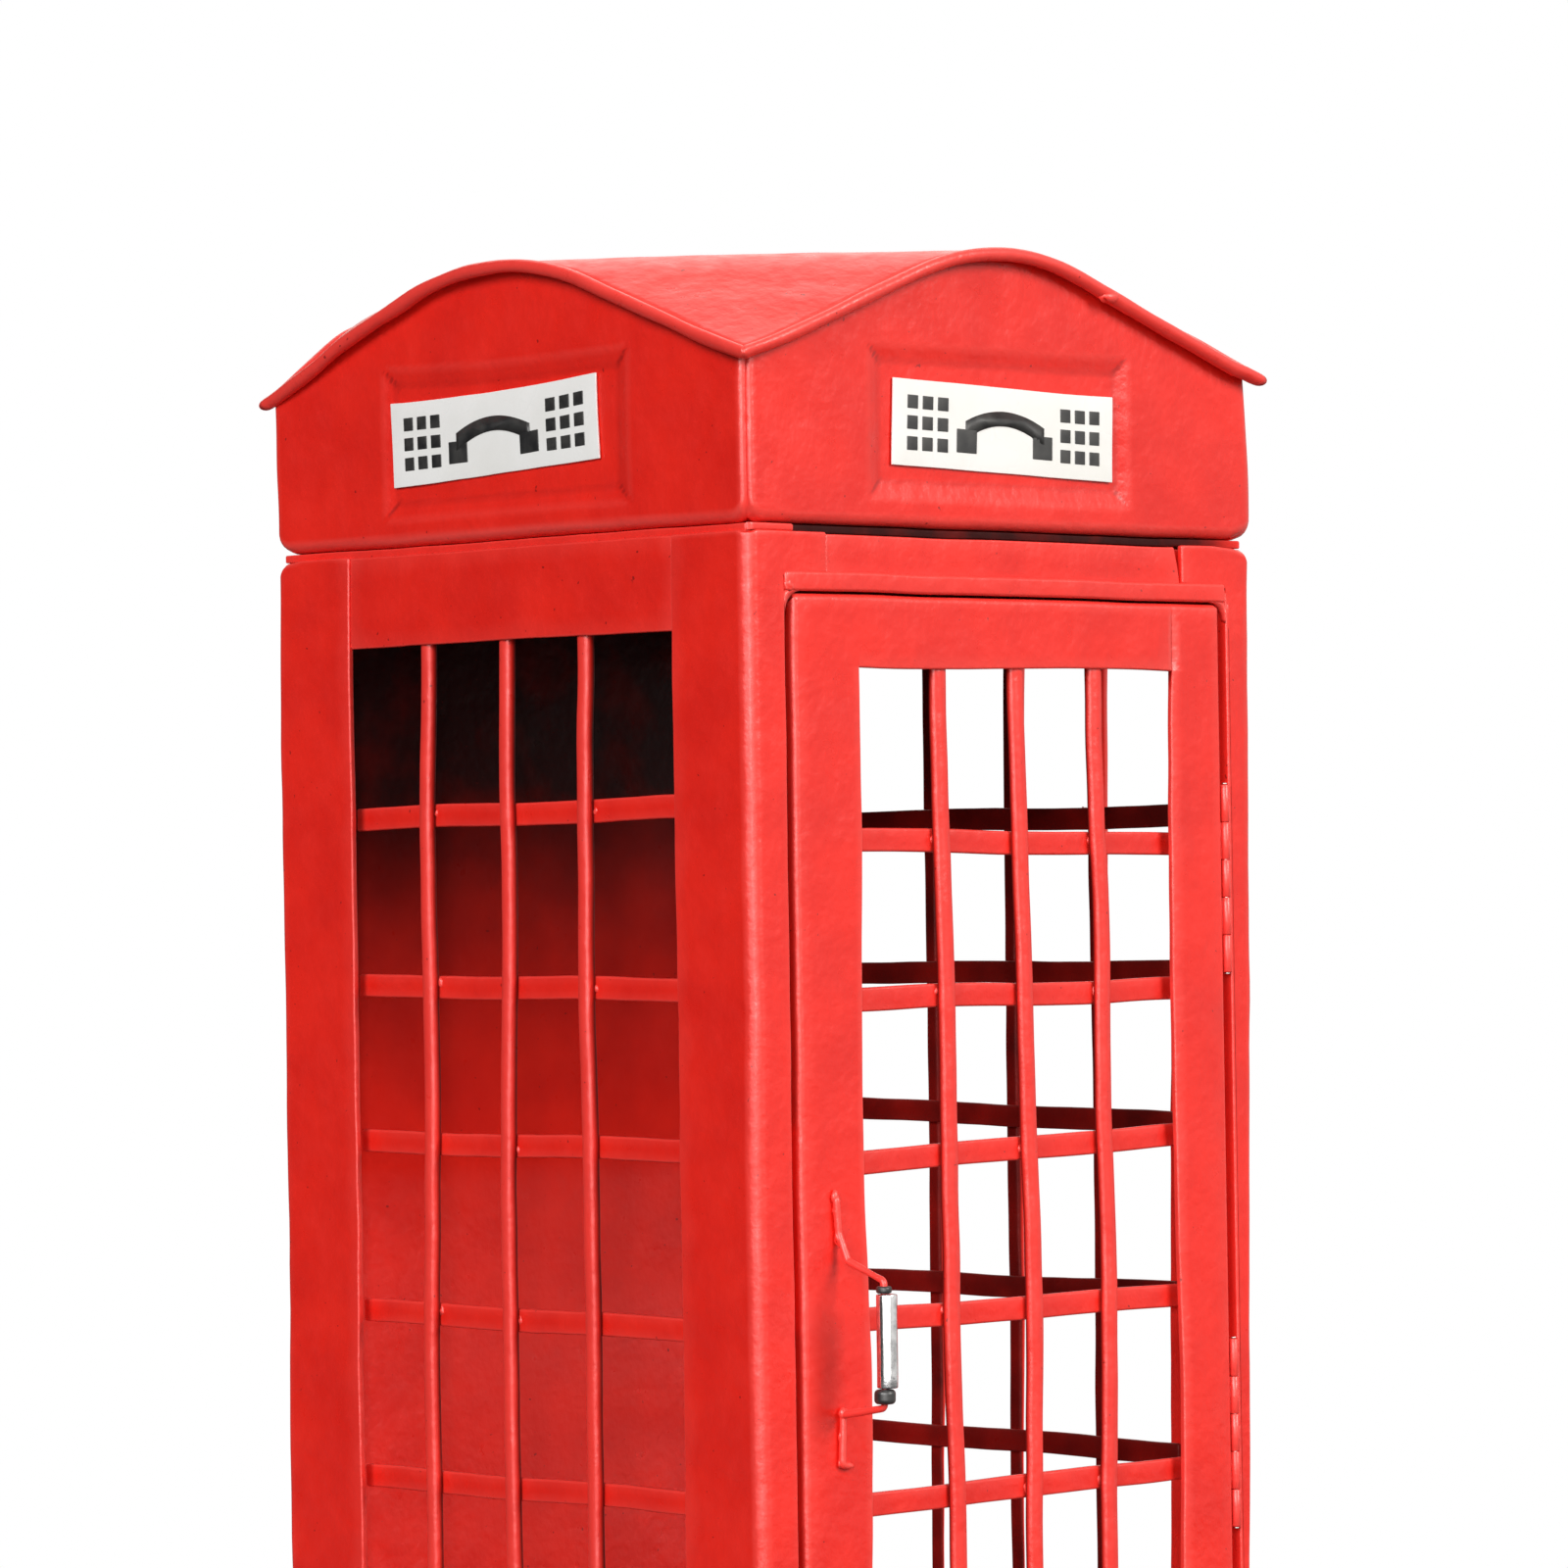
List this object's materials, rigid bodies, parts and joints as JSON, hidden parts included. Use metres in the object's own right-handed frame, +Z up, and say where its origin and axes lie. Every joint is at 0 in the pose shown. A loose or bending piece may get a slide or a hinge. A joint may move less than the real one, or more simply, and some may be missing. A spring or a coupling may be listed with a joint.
{
  "type": "telephone booth model",
  "caption": "Small painted sheet-metal model of a classic telephone booth with barred windows, an arched roof and a hinged door with a wire pull handle.",
  "frame": {"origin": "middle of the base, on the plane the model stands on", "axes": "+Z up, -Y out of the front (door) side, +X towards the hinge side; the pull handle is on the -X side of the door"},
  "size_m": [0.126, 0.1353, 0.3334],
  "materials": {
    "red_paint": "semi-gloss red enamel",
    "bright_steel": "polished",
    "black_plastic": "matt",
    "hinge_steel": "plain drawn wire",
    "sign_white": "gloss stuck-on plate",
    "ferrite": "ground ferrite magnet"
  },
  "bodies": {
    "cabinet": {"corner_post_front_left": "red_paint", "corner_post_front_right": "red_paint", "corner_post_rear_left": "red_paint", "corner_post_rear_right": "red_paint", "door_jamb": "red_paint", "header_front": "red_paint", "header_left": "red_paint", "header_right": "red_paint", "lower_panel_left": "red_paint", "lower_panel_right": "red_paint", "door_sill": "red_paint", "back_panel": "red_paint", "floor_tray": "red_paint", "left_upright_rear": "red_paint", "left_upright_middle": "red_paint", "left_upright_front": "red_paint", "right_upright_rear": "red_paint", "right_upright_middle": "red_paint", "right_upright_front": "red_paint", "left_crossbars": "red_paint", "right_crossbars": "red_paint", "hinge_frame_leaf_top": "red_paint", "hinge_frame_leaf_middle": "red_paint", "hinge_frame_leaf_bottom": "red_paint", "hinge_pin_top": "hinge_steel", "hinge_pin_middle": "hinge_steel", "hinge_pin_bottom": "hinge_steel", "roof_sheet": "red_paint", "roof_fascia_front": "red_paint", "roof_fascia_right": "red_paint", "roof_fascia_rear": "red_paint", "roof_fascia_left": "red_paint", "roof_edge_front": "red_paint", "roof_edge_right": "red_paint", "roof_edge_rear": "red_paint", "roof_edge_left": "red_paint", "roof_seat": "red_paint", "sign_front": "sign_white", "sign_right": "sign_white", "sign_rear": "sign_white", "sign_left": "sign_white", "catch_bracket": "red_paint", "catch_magnet": "ferrite"},
    "door": {"door_stile_left": "red_paint", "door_stile_right": "red_paint", "door_edge_left": "red_paint", "door_edge_right": "red_paint", "door_top_rail": "red_paint", "door_bottom_panel": "red_paint", "door_upright_left": "red_paint", "door_upright_middle": "red_paint", "door_upright_right": "red_paint", "door_crossbars": "red_paint", "hinge_door_leaf_top": "red_paint", "hinge_door_leaf_middle": "red_paint", "hinge_door_leaf_bottom": "red_paint", "handle_rod": "red_paint", "grip_ring_top": "black_plastic", "grip_ring_bottom": "black_plastic"},
    "grip": {"grip_sleeve": "bright_steel"}
  },
  "joints": [
    {"name": "door_hinge", "type": "hinge", "parent": "cabinet", "child": "door", "pos_m": [0.055, -0.0597, 0.1285], "axis": [0, 0, 1], "range_deg": [0, 120]},
    {"name": "grip_spin", "type": "hinge", "parent": "door", "child": "grip", "pos_m": [-0.041, -0.0704, 0.1505], "axis": [0, 0, 1], "continuous": true}
  ]
}
